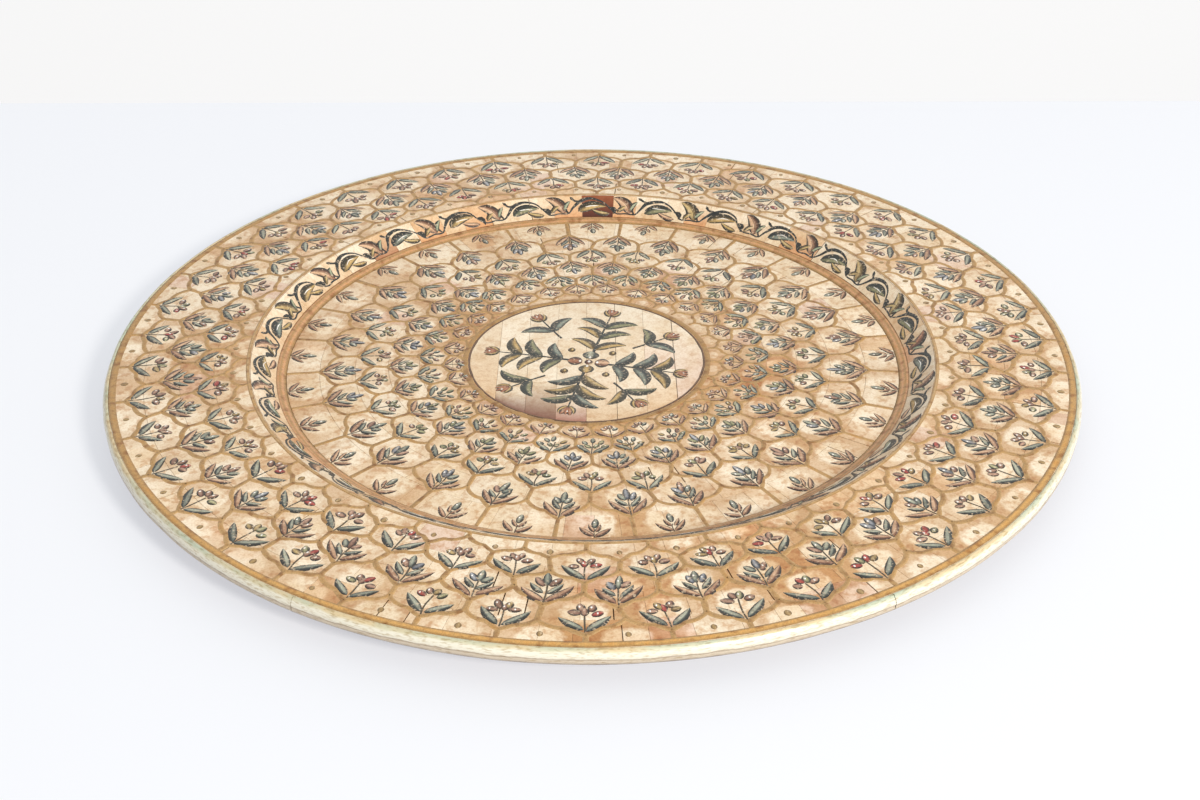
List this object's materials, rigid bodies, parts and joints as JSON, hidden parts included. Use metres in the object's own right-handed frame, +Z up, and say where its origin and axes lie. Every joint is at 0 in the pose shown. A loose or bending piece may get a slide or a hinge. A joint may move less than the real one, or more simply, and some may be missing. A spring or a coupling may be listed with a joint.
{
  "type": "round dished tray",
  "caption": "Large round dished serving tray: turned wooden core faced with painted bone veneer, with a scroll wall, a central medallion and a rounded pale edge.",
  "frame": {"origin": "centre of the flat base, on the surface that the tray rests on", "axes": "+Z up through the middle of the well; the medallion's strips run along Y"},
  "size_m": [0.61, 0.61, 0.0232],
  "materials": {
    "core_wood": "turned hardwood, waxed, slightly worn",
    "edge_binding": "pale cream and grey-green paint, rubbed, satin",
    "bone_veneer": "polished bone, painted by hand and varnished",
    "gilt_bead": "dull gold paint"
  },
  "bodies": {
    "root": {"tray_core": "core_wood", "edge_binding_1": "edge_binding", "edge_binding_2": "edge_binding", "edge_binding_3": "edge_binding", "edge_binding_4": "edge_binding", "edge_binding_5": "edge_binding", "edge_binding_6": "edge_binding", "rim_veneer_01": "bone_veneer", "rim_veneer_02": "bone_veneer", "rim_veneer_03": "bone_veneer", "rim_veneer_04": "bone_veneer", "rim_veneer_05": "bone_veneer", "rim_veneer_06": "bone_veneer", "rim_veneer_07": "bone_veneer", "rim_veneer_08": "bone_veneer", "rim_veneer_09": "bone_veneer", "rim_veneer_10": "bone_veneer", "rim_veneer_11": "bone_veneer", "rim_veneer_12": "bone_veneer", "rim_veneer_13": "bone_veneer", "rim_veneer_14": "bone_veneer", "rim_veneer_15": "bone_veneer", "rim_veneer_16": "bone_veneer", "rim_veneer_17": "bone_veneer", "rim_veneer_18": "bone_veneer", "rim_veneer_19": "bone_veneer", "rim_veneer_20": "bone_veneer", "rim_veneer_21": "bone_veneer", "rim_veneer_22": "bone_veneer", "wall_veneer_1": "bone_veneer", "wall_veneer_2": "bone_veneer", "wall_veneer_3": "bone_veneer", "wall_veneer_4": "bone_veneer", "wall_veneer_5": "bone_veneer", "wall_veneer_6": "bone_veneer", "wall_veneer_7": "bone_veneer", "wall_veneer_8": "bone_veneer", "wall_foot_bead": "gilt_bead", "floor_veneer_01": "bone_veneer", "floor_veneer_02": "bone_veneer", "floor_veneer_03": "bone_veneer", "floor_veneer_04": "bone_veneer", "floor_veneer_05": "bone_veneer", "floor_veneer_06": "bone_veneer", "floor_veneer_07": "bone_veneer", "floor_veneer_08": "bone_veneer", "floor_veneer_09": "bone_veneer", "floor_veneer_10": "bone_veneer", "floor_veneer_11": "bone_veneer", "floor_veneer_12": "bone_veneer", "floor_veneer_13": "bone_veneer", "floor_veneer_14": "bone_veneer", "medallion_strip_1": "bone_veneer", "medallion_strip_2": "bone_veneer", "medallion_strip_3": "bone_veneer", "medallion_strip_4": "bone_veneer", "medallion_strip_5": "bone_veneer", "medallion_strip_6": "bone_veneer", "medallion_strip_7": "bone_veneer", "medallion_strip_8": "bone_veneer"}
  },
  "joints": []
}
